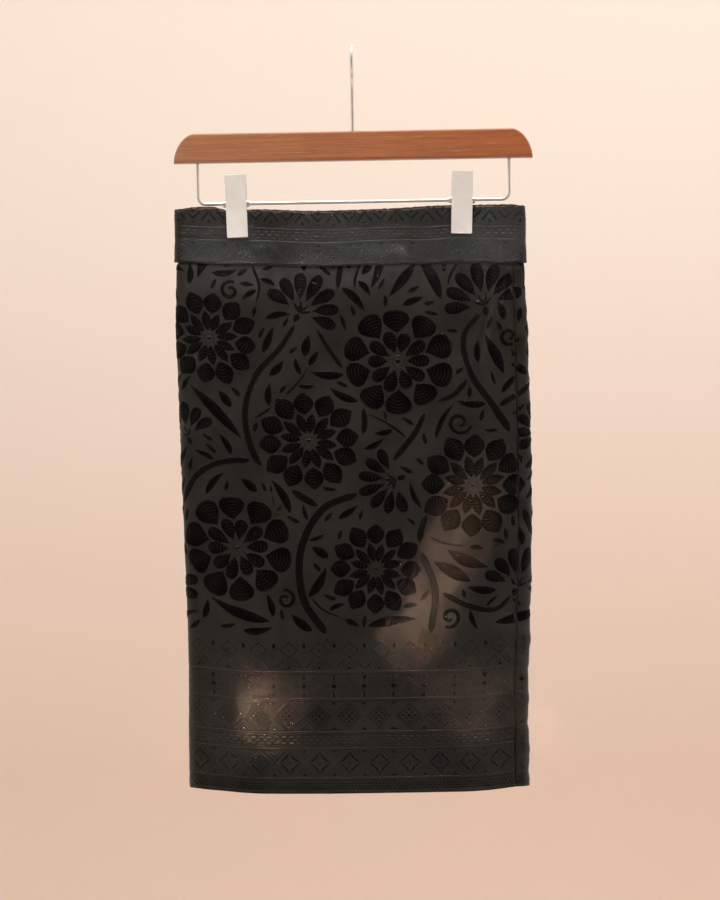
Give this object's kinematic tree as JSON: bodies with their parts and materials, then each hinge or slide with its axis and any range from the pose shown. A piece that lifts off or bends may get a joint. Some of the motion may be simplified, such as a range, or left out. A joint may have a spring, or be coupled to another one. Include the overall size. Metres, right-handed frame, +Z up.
{
  "type": "samping on a clip hanger",
  "caption": "Short tube skirt of black patterned brocade with a folded waistband, held flat by two spring clips on the wire of a straight wooden hanger.",
  "frame": {"origin": "top of the inside of the hook, where it rests on a rod", "axes": "+Z up along the hanging skirt, +X along the bar to the right as seen from the front, +Y to the back"},
  "size_m": [0.3816, 0.0399, 0.7929],
  "materials": {
    "brocade": "satin ground with a duller ribbed pattern in the same black",
    "bar_wood": "satin lacquer on red-brown wood",
    "hanger_chrome": "polished",
    "clip_plate": "satin nickel with polished rims"
  },
  "bodies": {
    "root": {"skirt_cloth": "brocade", "waistband": "brocade", "hanger_bar": "bar_wood", "hook": "hanger_chrome", "clip_wire": "hanger_chrome", "left_clip_front": "clip_plate", "left_clip_back": "clip_plate", "left_clip_barrel": "hanger_chrome", "left_clip_spring": "hanger_chrome", "right_clip_front": "clip_plate", "right_clip_back": "clip_plate", "right_clip_barrel": "hanger_chrome", "right_clip_spring": "hanger_chrome"}
  },
  "joints": []
}
